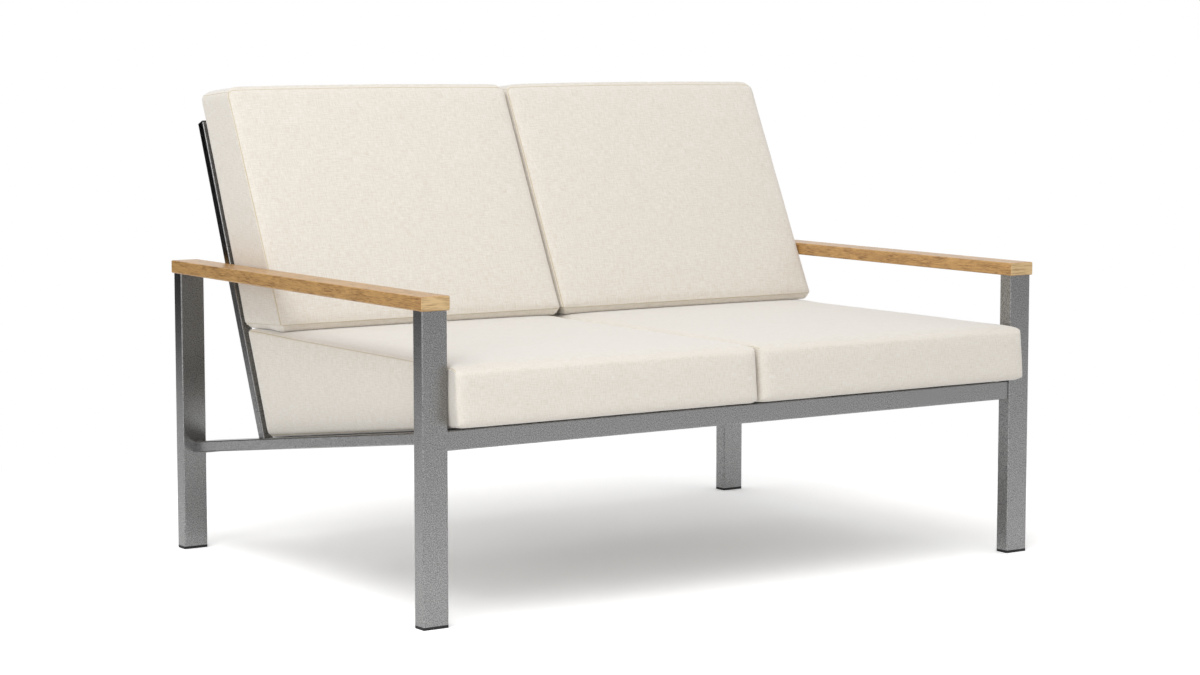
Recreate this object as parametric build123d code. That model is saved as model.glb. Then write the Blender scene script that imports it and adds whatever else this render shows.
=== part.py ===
from build123d import *
from math import atan, cos, radians, sin, tan
import os

# A two-seat patio sofa: a tube frame with wooden armrests, loose wedge seat cushions
# and loose back cushions. Millimetres, +Z up, the front toward -Y. While the pieces
# are made, Y starts at the front faces of the front legs and runs back; at the end
# everything is moved so that the origin is the middle of the footprint on the floor.

# Overall sizes
frame_width = 1318.0        # across the outer faces of the legs
frame_depth = 930.0         # front face of the front legs to rear face of the rear legs
arm_underside = 525.0       # floor to the underside of the armrests

# legs and feet
leg_across = 48.0           # leg section, left to right
leg_through = 30.0          # leg section, front to back
leg_wall = 2.0
leg_corner = 2.5            # outer corner radius of the leg tube
foot_thickness = 5.0        # the part of a foot cap under the tube
foot_corner = 2.2
plug_height = 22.0          # the part of a foot cap inside the tube
plug_gap = 2.4              # plug body to the tube's inner wall
fin_thickness = 1.6         # fins round the plug that grip the tube
fin_count = 3
plug_wall = 2.5
fit_gap = 0.1               # room round anything pushed or dropped into a hole

# armrests
arm_across = 55.0
arm_thickness = 24.0
arm_overhang = 3.5          # past the legs, outward and at both ends
arm_edge = 2.5              # rounding of the armrest's long edges
arm_end_edge = 1.5          # bevel of the edges round its ends

# seat deck
deck_front_height = 323.0   # top of the deck at the rear face of the front legs
deck_rear_height = 204.9    # top of the deck at the front face of the rear legs
front_rail_setback = 3.5    # rail face behind the front faces of the legs
front_rail_height = 33.5
front_rail_rise = 3.5        # top of the front rail above the top of the deck there
rear_rail_height = 15.0
rear_rail_drop = 8.4        # top of the rear rail below the top of the deck there
side_rail_inset = 20.5      # rail's outer edge in from the leg's outer face
side_rail_margin = 4.0      # rail's inner edge inside the inner face of a back post
side_rail_thickness = 20.0
centre_rail_across = 40.0
seat_slat_across = 50.0     # slat section along the deck
seat_slat_thickness = 12.0
seat_slat_count = 6         # slats on each side of the centre rail
first_slat_reach = 60.0     # along the deck, front legs to the middle of the first slat
slat_spacing = 106.0        # middle to middle, along the deck
rail_wall = 2.0
slat_wall = 1.5
rail_corner = 2.0
slat_corner = 1.5

# back frame
post_side = 20.0            # square section of a back post
post_foot_reach = 666.9     # front corner of a post's foot behind the legs' front faces
post_length = 623.0         # along the front face, to the top of the cap
post_lean = 22.5            # degrees from upright
post_cap_thickness = 2.5
post_cap_plug = 12.0
lower_rail_reach = 80.0     # up the posts to the middle of the lower back rail
upper_rail_drop = 20.0      # top of a post down to the middle of the upper back rail
back_slat_across = 30.0
back_slat_through = 12.0
back_slat_count = 10

# plates, screws and bolts
plate_thickness = 4.0
screw_radius = 3.0
screw_head_radius = 5.2
screw_head_height = 3.2
screw_hole_gap = 0.2        # room round a screw, on its radius
socket_across = 4.0         # across the flats of the drive socket
socket_depth = 2.0
arm_screw_reach = 16.0      # into the wood from a leg
tie_bolt_reach = 22.0       # into the wood from a back post

# cushions
rest_gap = 0.3              # between a cushion and what it rests on
cushion_side_gap = 0.9      # outer side of a cushion to the armrest or the legs
cushion_middle_gap = 5.0    # between the seams of two cushions side by side
side_draw = 1.0             # the sides are drawn in by this much between the corners
inner_bulge = 1.4           # the inner side swells toward its neighbour
outer_bulge = 0.4
front_corner_bulge = 3.0    # outer side of a seat cushion at its front corners
seat_front_reach = 32.0     # lower front seam ahead of the legs' front faces
seat_top_front = 12.0       # upper front seam ahead of the legs' front faces
seat_top_height = 430.0     # upper seams of the seat cushion
seat_low_clear = 11.5        # lower rear seam ahead of the posts' front plane
seat_top_clear = 14.0       # upper rear seam ahead of the posts' front plane
seat_crown = 9.5            # swell of the top panel
seat_front_swell = 12.0     # swell of the front panel
seat_rear_swell = 4.5       # swell of the rear panel
back_low_depth = 146.8      # rear seam to front seam at the bottom, level
back_low_rise = 4.5         # front seam above the rear seam at the bottom
back_top_depth = 114.2      # rear seam to front seam at the top, level
back_top_rise = 10.5        # front seam above the rear seam at the top
back_seam_height = 421.0    # lower to upper rear seam, upright
back_front_crown = 9.0      # swell of the front panel
back_rear_crown = 7.5       # swell of the rear panel, which touches the slats
back_bottom_swell = 7.4     # swell of the bottom panel, which rests on the seat
back_top_swell = 6.5        # swell of the top panel

# Shares along a cushion: 0 is its front or bottom seam, 1 its rear or top seam.
station_shares = (0.0, 0.1, 0.3, 0.7, 0.9, 1.0)
crown_shares = (0.08, 0.5, 1.0, 1.0, 0.5, 0.08)
draw_shares = (0.0, 0.4, 1.0, 1.0, 0.4, 0.0)
# Rings beyond a seam: how far out, as shares of the swell, and how far in from the
# seam, as shares of the panel's height.
ring_out_shares = (1.0, 0.75, 0.35)
ring_in_shares = (0.36, 0.17, 0.05)
flat_sides = (0, 0, 0, 0)
side_step_counts = (4, 2, 6, 2)     # straight steps in each side of an outline

cut_over = 40.0             # cutting tools run past what they cut by this much

# Worked out from the sizes above
leg_centre_x = frame_width / 2 - leg_across / 2
leg_inner_x = frame_width / 2 - leg_across
front_leg_y = leg_through / 2
rear_leg_y = frame_depth - leg_through / 2
deck_start_y = leg_through
deck_end_y = frame_depth - leg_through
deck_run = deck_end_y - deck_start_y
deck_fall = (deck_front_height - deck_rear_height) / deck_run
deck_tilt = atan(deck_fall)
arm_outer_x = frame_width / 2 + arm_overhang
arm_inner_x = arm_outer_x - arm_across
arm_centre_x = (arm_outer_x + arm_inner_x) / 2
arm_length = frame_depth + 2 * arm_overhang
front_rail_through = leg_through - front_rail_setback
front_rail_top = deck_front_height + front_rail_rise
rear_rail_through = leg_through - front_rail_setback
side_rail_outer_x = frame_width / 2 - side_rail_inset
centre_rail_half = centre_rail_across / 2
post_outer_x = arm_inner_x
post_inner_x = post_outer_x - post_side
side_rail_inner_x = post_inner_x - side_rail_margin
side_rail_across = side_rail_outer_x - side_rail_inner_x
side_rail_centre_x = (side_rail_outer_x + side_rail_inner_x) / 2
post_centre_x = post_outer_x - post_side / 2
lean = radians(post_lean)
post_foot_z = deck_front_height - (post_foot_reach - deck_start_y) * deck_fall
upper_rail_reach = post_length - upper_rail_drop
arm_middle_z = arm_underside + arm_thickness / 2
cushion_outer = min(arm_inner_x, leg_inner_x) - cushion_side_gap
cushion_inner = cushion_middle_gap / 2

right = (1, 0, 0)
deck_out = (0, sin(deck_tilt), cos(deck_tilt))
post_ahead = (0, -cos(lean), sin(lean))

# Local frames: deck x is right, y runs back down the slope, z stands off the deck.
# Back x is right, y runs up the posts, z points ahead, off the posts' front faces.
deck = Plane(origin=(0, deck_start_y, deck_front_height), x_dir=right, z_dir=deck_out)
back = Plane(origin=(0, post_foot_reach, post_foot_z), x_dir=right, z_dir=post_ahead)


# Shapes shared by several pieces
def tube(across, through, length, wall, corner):
    """A drawn tube standing on the origin: rounded outside corners, square inside."""
    outside = RectangleRounded(across, through, corner)
    inside = Rectangle(across - 2 * wall, through - 2 * wall)
    return extrude(outside - inside, amount=length)


def bevelled_tube(across, through, length, wall, corner):
    """A tube with bevelled outside corners, standing on the origin."""
    outside = Rectangle(across, through)
    outside = chamfer(outside.vertices(), corner)
    inside = Rectangle(across - 2 * wall, through - 2 * wall)
    return extrude(outside - inside, amount=length)


def slat_tube(across, through, length):
    """A light bevelled tube, standing on the origin."""
    return bevelled_tube(across, through, length, slat_wall, slat_corner)


def between(shape, start_y, end_y):
    """The part of a shape between two upright planes across the seat."""
    width = frame_width + 2 * cut_over
    height = arm_underside + cut_over
    keep = Box(width, end_y - start_y, height, align=(Align.CENTER, Align.MIN, Align.MIN))
    return shape & (Pos(0, start_y, 0) * keep)


def crosswise(shape, start_x):
    """A tube that stood on the origin, now running left to right from start_x."""
    return Plane(origin=(start_x, 0, 0), x_dir=(0, 1, 0), z_dir=right) * shape


def sloping_rail(across, thickness, centre_x):
    """A flat tube under the deck plane, cut upright where it meets both cross rails."""
    length = deck_run / cos(deck_tilt) + 2 * cut_over
    start = (centre_x, -cut_over, -thickness / 2)
    place = Plane(origin=start, x_dir=right, z_dir=(0, 1, 0))
    flat_tube = bevelled_tube(across, thickness, length, rail_wall, rail_corner)
    rail = deck * (place * flat_tube)
    return between(rail, deck_start_y, deck_end_y)


def driven(length):
    """A screw along +Z: its head lies below the origin and has a hex socket."""
    shank = Cylinder(screw_radius, length, align=(Align.CENTER, Align.CENTER, Align.MIN))
    head = Cylinder(
        screw_head_radius, screw_head_height, align=(Align.CENTER, Align.CENTER, Align.MAX)
    )
    outline = RegularPolygon(socket_across / 2, 6, major_radius=False)
    socket = Pos(0, 0, -screw_head_height) * extrude(outline, amount=socket_depth)
    return shank + head - socket


def screw_hole(length):
    """What a screw's hole takes out, along +Z from the origin."""
    radius = screw_radius + screw_hole_gap
    deep = length + screw_hole_gap
    return Cylinder(radius, deep, align=(Align.CENTER, Align.CENTER, Align.MIN))


# Legs, feet and armrests
def leg(side, centre_y):
    body = tube(leg_across, leg_through, arm_underside - foot_thickness, leg_wall, leg_corner)
    return Pos(side * leg_centre_x, centre_y, foot_thickness) * body


def foot(side, centre_y):
    """A plastic cap under a leg, with a hollow plug and fins inside the tube."""
    plate = extrude(RectangleRounded(leg_across, leg_through, foot_corner), amount=foot_thickness)
    inside_across = leg_across - 2 * leg_wall
    inside_through = leg_through - 2 * leg_wall
    plug = Rectangle(inside_across - 2 * plug_gap, inside_through - 2 * plug_gap)
    hollow = Rectangle(
        inside_across - 2 * plug_gap - 2 * plug_wall,
        inside_through - 2 * plug_gap - 2 * plug_wall,
    )
    cap = plate + Pos(0, 0, foot_thickness) * extrude(plug - hollow, amount=plug_height)
    fin = Rectangle(inside_across - 2 * fit_gap, inside_through - 2 * fit_gap) - hollow
    for step in range(fin_count):
        fin_z = foot_thickness + plug_height * (step + 1) / (fin_count + 1)
        cap += Pos(0, 0, fin_z) * extrude(fin, amount=fin_thickness)
    return Pos(side * leg_centre_x, centre_y, 0) * cap


def post_front_y(height):
    """How far back the front plane of the posts is at a height above the floor."""
    return post_foot_reach + (height - post_foot_z) * tan(lean)


def bolt_y():
    """How far back a post's middle line crosses the middle of the armrest."""
    return post_front_y(arm_middle_z) + post_side / 2 / cos(lean)


def armrest(side):
    """A flat board with rounded edges, drilled for its two screws and its bolt."""
    outline = RectangleRounded(arm_across, arm_thickness, arm_edge)
    board = extrude(outline, amount=arm_length)
    ends = board.faces().sort_by(Axis.Z)
    board = chamfer(ends[0].edges() + ends[-1].edges(), arm_end_edge)
    start = (side * arm_centre_x, -arm_overhang, arm_middle_z)
    board = Plane(origin=start, x_dir=right, z_dir=(0, 1, 0)) * board
    for centre_y in (front_leg_y, rear_leg_y):
        place = Pos(side * leg_centre_x, centre_y, arm_underside)
        board -= place * screw_hole(arm_screw_reach)
    start = Plane(origin=(side * arm_inner_x, bolt_y(), arm_middle_z), z_dir=(side, 0, 0))
    return board - start * screw_hole(tie_bolt_reach)


def leg_top_plates():
    """A plate inside the top of each leg, drilled for a screw."""
    plate = Box(
        leg_across - 2 * leg_wall - 2 * fit_gap,
        leg_through - 2 * leg_wall - 2 * fit_gap,
        plate_thickness,
        align=(Align.CENTER, Align.CENTER, Align.MIN),
    )
    plate -= screw_hole(plate_thickness)
    plates = []
    for side in (-1, 1):
        for centre_y in (front_leg_y, rear_leg_y):
            place = Pos(side * leg_centre_x, centre_y, arm_underside - plate_thickness)
            plates.append(place * plate)
    return plates


def arm_screws():
    """A screw up through the plate of each leg into the armrest."""
    screw = driven(plate_thickness + arm_screw_reach)
    screws = []
    for side in (-1, 1):
        for centre_y in (front_leg_y, rear_leg_y):
            place = Pos(side * leg_centre_x, centre_y, arm_underside - plate_thickness)
            screws.append(place * screw)
    return screws


def arm_tie_bolts():
    """A bolt from the inner side of each back post into the armrest."""
    bolt = driven(post_side + tie_bolt_reach)
    bolts = []
    for side in (-1, 1):
        start = Plane(origin=(side * post_inner_x, bolt_y(), arm_middle_z), z_dir=(side, 0, 0))
        bolts.append(start * bolt)
    return bolts


# Seat frame
def front_rail():
    rail = tube(
        front_rail_through, front_rail_height, 2 * leg_inner_x, rail_wall, rail_corner
    )
    centre_y = front_rail_setback + front_rail_through / 2
    place = Pos(0, centre_y, front_rail_top - front_rail_height / 2)
    return place * crosswise(rail, -leg_inner_x)


def rear_rail():
    length = 2 * leg_inner_x
    rail = bevelled_tube(rear_rail_through, rear_rail_height, length, rail_wall, rail_corner)
    centre_y = deck_end_y + rear_rail_through / 2
    top = deck_rear_height - rear_rail_drop
    place = Pos(0, centre_y, top - rear_rail_height / 2)
    return place * crosswise(rail, -leg_inner_x)


def side_rail(side):
    return sloping_rail(side_rail_across, side_rail_thickness, side * side_rail_centre_x)


def seat_centre_rail():
    return sloping_rail(centre_rail_across, side_rail_thickness, 0)


def seat_slats(side):
    """Cross tubes between a side rail and the centre rail, level with their tops."""
    start, end = sorted((side * centre_rail_half, side * side_rail_inner_x))
    slat = slat_tube(seat_slat_across, seat_slat_thickness, end - start)
    slat = crosswise(slat, start)
    slats = []
    for step in range(seat_slat_count):
        reach = first_slat_reach + step * slat_spacing
        slats.append(deck * (Pos(0, reach, -seat_slat_thickness / 2) * slat))
    return slats


# Back frame
def back_post(side):
    """A leaning tube, its foot cut to sit flat on the side rail, bored for the bolt."""
    length = post_length - post_cap_thickness + cut_over
    start = (side * post_centre_x, -cut_over, -post_side / 2)
    place = Plane(origin=start, x_dir=right, z_dir=(0, 1, 0))
    post = back * (place * tube(post_side, post_side, length, slat_wall, rail_corner))
    under = Box(
        frame_width, frame_depth, 2 * cut_over, align=(Align.CENTER, Align.MIN, Align.MAX)
    )
    post -= deck * under
    start = Plane(origin=(side * post_inner_x, bolt_y(), arm_middle_z), z_dir=(side, 0, 0))
    return post - start * screw_hole(post_side + screw_hole_gap)


def post_caps():
    """Plastic caps in the open tops of the back posts."""
    plate = extrude(RectangleRounded(post_side, post_side, rail_corner), amount=post_cap_thickness)
    inside = post_side - 2 * slat_wall - 2 * fit_gap
    plug = extrude(Rectangle(inside, inside), amount=-post_cap_plug)
    caps = []
    for side in (-1, 1):
        start = (side * post_centre_x, post_length - post_cap_thickness, -post_side / 2)
        place = Plane(origin=start, x_dir=right, z_dir=(0, 1, 0))
        caps.append(back * (place * (plate + plug)))
    return caps


def back_rail(reach):
    rail = tube(post_side, post_side, 2 * post_inner_x, slat_wall, rail_corner)
    place = back * Pos(0, reach, -post_side / 2)
    return place * crosswise(rail, -post_inner_x)


def back_slats():
    """Upright tubes between the back rails, flush with their front faces."""
    low = lower_rail_reach + post_side / 2
    high = upper_rail_reach - post_side / 2
    place = Plane(origin=(0, low, -back_slat_through / 2), x_dir=right, z_dir=(0, 1, 0))
    slat = place * slat_tube(back_slat_across, back_slat_through, high - low)
    spacing = 2 * post_inner_x / (back_slat_count + 1)
    slats = []
    for step in range(back_slat_count):
        slats.append(back * (Pos(spacing * (step + 1) - post_inner_x, 0, 0) * slat))
    return slats


# Cushions
def moved_in(corners, inset):
    """The corners of an outline after all its sides have moved in by the same amount."""
    count = len(corners)
    moved = []
    for place in range(count):
        here = corners[place]
        before = (here - corners[place - 1]).normalized()
        after = (corners[(place + 1) % count] - here).normalized()
        first = Vector(-before.Y, before.X)
        second = Vector(-after.Y, after.X)
        moved.append(here + (first + second) * (inset / (1 + first.dot(second))))
    return moved


def soft_outline(corners, swells):
    """A closed outline of four swelling sides that meet in seams, anticlockwise."""
    count = len(corners)
    spots = []
    for place in range(count):
        start = corners[place]
        chord = corners[(place + 1) % count] - start
        out = Vector(chord.Y, -chord.X).normalized() * swells[place]
        steps = side_step_counts[place]
        for step in range(steps):
            part = step / steps
            spots.append(start + chord * part + out * (4 * part * (1 - part)))
    edges = [Line(spots[place - 1], spots[place]) for place in range(len(spots))]
    return Face(Wire(edges))


def section(side, low, high, widths, inset, swells):
    """One outline across a cushion: from its low point to its high point."""
    height = (high - low).length
    inner, outer = widths
    near, far = sorted((side * inner, side * outer))
    far_swell, near_swell = (swells[1], swells[3]) if side > 0 else (swells[3], swells[1])
    ordered = (swells[0], far_swell, swells[2], near_swell)
    corners = [Vector(near, 0), Vector(far, 0), Vector(far, height), Vector(near, height)]
    outline = soft_outline(moved_in(corners, inset), ordered)
    place = Plane(origin=low, x_dir=right, z_dir=Vector(right).cross(high - low))
    return place * outline


def end_rings(side, low, high, shift):
    """Outlines that close an end panel, from the one next to its seam outward."""
    widths = (cushion_inner, cushion_outer)
    height = (high - low).length
    rings = []
    for out_share, in_share in zip(ring_out_shares, ring_in_shares):
        moved = (low + shift * out_share, high + shift * out_share)
        inset = height * in_share
        rings.append(section(side, *moved, widths, inset, flat_sides))
    return rings


def cushion(side, lows, highs, end_swells, crowns, corner_bulge, lift=0):
    """A boxed cushion through outlines from its first seam ring to its last.

    lows and highs hold the ends of its lower and upper seam lines. The end panels
    swell ahead of the first ring and behind the last one, the long panels by crowns.
    The lower seam line is lifted at the second outline, where it passes over a rail.
    """
    rings = []
    for low, high, swell, inside in (
        (lows[0], highs[0], end_swells[0], lows[1]),
        (lows[1], highs[1], end_swells[1], lows[0]),
    ):
        out = (high - low).cross(Vector(right)).normalized()
        out = out if out.dot(low - inside) > 0 else -out
        rings.append(end_rings(side, low, high, out * swell))
    body = []
    for share, crown, draw in zip(station_shares, crown_shares, draw_shares):
        low = lows[0] + (lows[1] - lows[0]) * share
        if share == station_shares[1]:
            low += Vector(0, 0, lift)
        high = highs[0] + (highs[1] - highs[0]) * share
        corner_share = max(0, 1 - share / station_shares[1])
        outer_swell = outer_bulge + (corner_bulge - outer_bulge) * corner_share
        swells = (crowns[0] * crown, outer_swell, crowns[1] * crown, inner_bulge)
        widths = (cushion_inner + side_draw * draw, cushion_outer - side_draw * draw)
        body.append(section(side, low, high, widths, 0, swells))
    outlines = rings[0][::-1] + body + rings[1]
    return loft(outlines[::-1], ruled=True)


def seat_corners():
    """The ends of the seat cushion's lower and upper seam lines, front and rear."""
    lift = rest_gap / cos(deck_tilt)
    lows = []
    for reach in (-seat_front_reach, post_foot_reach - seat_low_clear):
        deck_z = deck_front_height + (deck_start_y - reach) * deck_fall
        lows.append(Vector(0, reach, deck_z + lift))
    top_rear = post_front_y(seat_top_height) - seat_top_clear
    highs = [
        Vector(0, -seat_top_front, seat_top_height),
        Vector(0, top_rear, seat_top_height),
    ]
    return lows, highs


def seat_lift(lows):
    """How far the lower seam line is lifted to clear the rear edge of the front rail."""
    clear_z = front_rail_top + rest_gap
    station = lows[0] + (lows[1] - lows[0]) * station_shares[1]
    share = (deck_start_y - lows[0].Y) / (station.Y - lows[0].Y)
    here_z = lows[0].Z + (station.Z - lows[0].Z) * share
    return max(0, (clear_z - here_z) / share)


def seat_cushion(side):
    """A wedge: its bottom follows the sloping deck and its top is level."""
    lows, highs = seat_corners()
    crowns = (0, seat_crown)
    end_swells = (seat_front_swell, seat_rear_swell)
    lift = seat_lift(lows)
    return cushion(side, lows, highs, end_swells, crowns, front_corner_bulge, lift)


def seat_top_at(reach):
    """Height of the middle of the seat cushion's top panel, so far back."""
    highs = seat_corners()[1]
    share = (reach - highs[0].Y) / (highs[1].Y - highs[0].Y)
    crown = 0
    for step in range(len(station_shares) - 1):
        start, end = station_shares[step], station_shares[step + 1]
        if start <= share <= end:
            part = (share - start) / (end - start)
            crown = crown_shares[step] + part * (crown_shares[step + 1] - crown_shares[step])
    return seat_top_height + seat_crown * crown


def back_low_height():
    """Height of the lower rear seam that lets the bottom panel rest on the seat."""
    rest_share = 1 - ring_in_shares[0]
    rest_y = post_front_y(seat_top_height) - back_low_depth * rest_share
    low_point = back_bottom_swell - back_low_rise * rest_share
    return seat_top_at(rest_y) + rest_gap + low_point


def back_cushion(side):
    """A cushion that thins toward its top, on the seat cushion and against the slats."""
    lows = []
    highs = []
    lower = back_low_height()
    clear = back_rear_crown + rest_gap / cos(lean)
    for height, depth, rise in (
        (lower, back_low_depth, back_low_rise),
        (lower + back_seam_height, back_top_depth, back_top_rise),
    ):
        rear = Vector(0, post_front_y(height) - clear, height)
        lows.append(rear)
        highs.append(rear + Vector(0, -depth, rise))
    end_swells = (back_bottom_swell, back_top_swell)
    crowns = (back_rear_crown, back_front_crown)
    return cushion(side, lows, highs, end_swells, crowns, outer_bulge)


# Every piece, by name
def all_pieces():
    pieces = {
        "front_rail": front_rail(),
        "rear_rail": rear_rail(),
        "seat_centre_rail": seat_centre_rail(),
        "back_rail_bottom": back_rail(lower_rail_reach),
        "back_rail_top": back_rail(upper_rail_reach),
        "back_slats": Compound(back_slats()),
        "post_caps": Compound(post_caps()),
        "leg_top_plates": Compound(leg_top_plates()),
        "arm_screws": Compound(arm_screws()),
        "arm_tie_bolts": Compound(arm_tie_bolts()),
    }
    for name, side in (("left", -1), ("right", 1)):
        pieces["leg_front_" + name] = leg(side, front_leg_y)
        pieces["leg_rear_" + name] = leg(side, rear_leg_y)
        pieces["foot_front_" + name] = foot(side, front_leg_y)
        pieces["foot_rear_" + name] = foot(side, rear_leg_y)
        pieces["armrest_" + name] = armrest(side)
        pieces["side_rail_" + name] = side_rail(side)
        pieces["seat_slats_" + name] = Compound(seat_slats(side))
        pieces["back_post_" + name] = back_post(side)
        pieces["seat_cushion_" + name] = seat_cushion(side)
        pieces["back_cushion_" + name] = back_cushion(side)
    return pieces


def main():
    os.makedirs("parts", exist_ok=True)
    pieces = all_pieces()
    front = min(piece.bounding_box().min.Y for piece in pieces.values())
    rear = max(piece.bounding_box().max.Y for piece in pieces.values())
    for name, piece in pieces.items():
        placed = Pos(0, -(front + rear) / 2, 0) * piece
        export_step(placed, "parts/" + name + ".step")


main()
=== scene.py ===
"""Looks of a two-seat patio sofa: painted tube frame, wooden armrests, loose cushions."""

import math

import bmesh
import bpy
from bpy.props import FloatProperty, FloatVectorProperty, IntProperty, PointerProperty
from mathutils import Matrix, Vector, noise


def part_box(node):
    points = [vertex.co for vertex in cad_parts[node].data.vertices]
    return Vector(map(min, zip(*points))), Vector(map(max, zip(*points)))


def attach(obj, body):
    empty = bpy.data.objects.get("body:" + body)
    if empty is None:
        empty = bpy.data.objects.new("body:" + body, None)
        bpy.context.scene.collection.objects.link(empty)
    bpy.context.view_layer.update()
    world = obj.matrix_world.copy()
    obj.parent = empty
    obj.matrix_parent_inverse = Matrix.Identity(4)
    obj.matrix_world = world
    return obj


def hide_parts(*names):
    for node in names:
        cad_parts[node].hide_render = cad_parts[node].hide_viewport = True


bl_info = {
    "name": "Patio sofa",
    "version": (1, 0, 0),
    "blender": (4, 5, 0),
    "location": "View3D > Sidebar > Patio sofa",
    "description": "Dresses the frame, armrests and cushions of a two-seat patio sofa",
    "category": "Object",
}

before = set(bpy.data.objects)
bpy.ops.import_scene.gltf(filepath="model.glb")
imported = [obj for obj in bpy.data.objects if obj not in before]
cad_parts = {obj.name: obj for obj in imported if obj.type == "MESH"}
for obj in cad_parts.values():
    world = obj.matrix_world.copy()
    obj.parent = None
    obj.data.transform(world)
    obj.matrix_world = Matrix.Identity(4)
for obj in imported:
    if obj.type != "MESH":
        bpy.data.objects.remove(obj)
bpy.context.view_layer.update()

MM = 0.001


def linear(code):
    """The linear colour of an sRGB hex value."""
    parts = [int(code[place : place + 2], 16) / 255 for place in (0, 2, 4)]
    return tuple(
        part / 12.92 if part <= 0.04045 else ((part + 0.055) / 1.055) ** 2.4 for part in parts
    )


def add_object(name, mesh):
    """An object in the scene with the mesh of a bmesh, which is freed."""
    data = bpy.data.meshes.new(name)
    mesh.to_mesh(data)
    mesh.free()
    piece = bpy.data.objects.new(name, data)
    bpy.context.scene.collection.objects.link(piece)
    return piece


# Sizes and colours that a user would change


class CushionSettings(bpy.types.PropertyGroup):
    fabric: FloatVectorProperty(
        name="Fabric", description="Colour of the woven cover", subtype="COLOR",
        default=linear("e6e1d9"),
    )
    slub: FloatVectorProperty(
        name="Slubs", description="Colour of the thicker threads in the weave", subtype="COLOR",
        default=linear("d8d0c3"),
    )
    seam: FloatVectorProperty(
        name="Seam", description="Colour in the groove of a seam", subtype="COLOR",
        default=linear("bfae84"),
    )
    thread_spacing: FloatProperty(
        name="Thread spacing", description="Middle of one thread to the next",
        default=2.0 * MM, unit="LENGTH",
    )
    seam_depth: FloatProperty(
        name="Seam depth", description="How far a seam is pulled in", default=1.6 * MM,
        unit="LENGTH",
    )
    pucker: FloatProperty(
        name="Pucker", description="Height of the ripples beside a seam", default=0.45 * MM,
        unit="LENGTH",
    )
    filling_pressure: FloatProperty(
        name="Filling pressure", description="Pressure of the filling on the cover", default=4.0
    )
    filling_frames: IntProperty(
        name="Filling frames", description="Frames over which the cover fills out", default=20
    )


class ArmSettings(bpy.types.PropertyGroup):
    early_wood: FloatVectorProperty(
        name="Early wood", description="Light wood between the grain lines", subtype="COLOR",
        default=linear("cb9f61"),
    )
    late_wood: FloatVectorProperty(
        name="Late wood", description="Darker wood of the grain lines", subtype="COLOR",
        default=linear("82582a"),
    )
    # Sawn ends: the ring figure of real end grain, in a tone painted lighter as a painted
    # highlight for the light that the ends catch
    end_grain_painted_lighter: FloatVectorProperty(
        name="End grain", description="Lighter wood of the sawn ends", subtype="COLOR",
        default=linear("d4b583"),
    )
    grain_width: FloatProperty(
        name="Grain width", description="Middle of one grain line to the next",
        default=2.0 * MM, unit="LENGTH",
    )


class FrameSettings(bpy.types.PropertyGroup):
    powder: FloatVectorProperty(
        name="Powder coat", description="Colour of the painted tubes", subtype="COLOR",
        default=linear("b2b2b2"),
    )
    powder_dark: FloatVectorProperty(
        name="Powder coat, dark grains", description="Colour of the darker grains in the paint",
        subtype="COLOR", default=linear("6b6b6b"),
    )
    grit: FloatProperty(
        name="Grit", description="Size of the grains in the paint", default=1.8 * MM,
        unit="LENGTH",
    )
    plastic: FloatVectorProperty(
        name="Plastic", description="Colour of the feet and post caps", subtype="COLOR",
        default=linear("121212"),
    )


class StageSettings(bpy.types.PropertyGroup):
    lens: FloatProperty(
        name="Lens", description="Focal length on a 36 mm wide sensor", default=84.39,
        unit="CAMERA",
    )
    key_light: FloatProperty(
        name="Key light", description="Power of the softbox at the upper left", default=84.0,
        unit="POWER",
    )
    fill_light: FloatProperty(
        name="Fill light", description="Power of the softbox at the front left",
        default=18.0, unit="POWER",
    )
    surround: FloatProperty(
        name="Surround", description="Strength of the even light from all round", default=0.74
    )


# Nodes of a material


def add_node(tree, kind, inputs=None, **settings):
    """Adds a node with its settings, and sets or links its inputs."""
    node = tree.nodes.new(kind)
    for name, value in settings.items():
        setattr(node, name, value)
    for key, value in (inputs or {}).items():
        if isinstance(value, bpy.types.NodeSocket):
            tree.links.new(value, node.inputs[key])
        else:
            node.inputs[key].default_value = value
    return node


def new_material(name):
    """An empty material and its tree of nodes."""
    material = bpy.data.materials.new(name)
    material.use_nodes = True
    material.node_tree.nodes.clear()
    return material, material.node_tree


def finish_material(tree, shader):
    """Links a shader to the material's output."""
    add_node(tree, "ShaderNodeOutputMaterial", {"Surface": shader.outputs[0]})


def opaque(colour):
    """A colour with its alpha."""
    return (*colour, 1.0)


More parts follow.
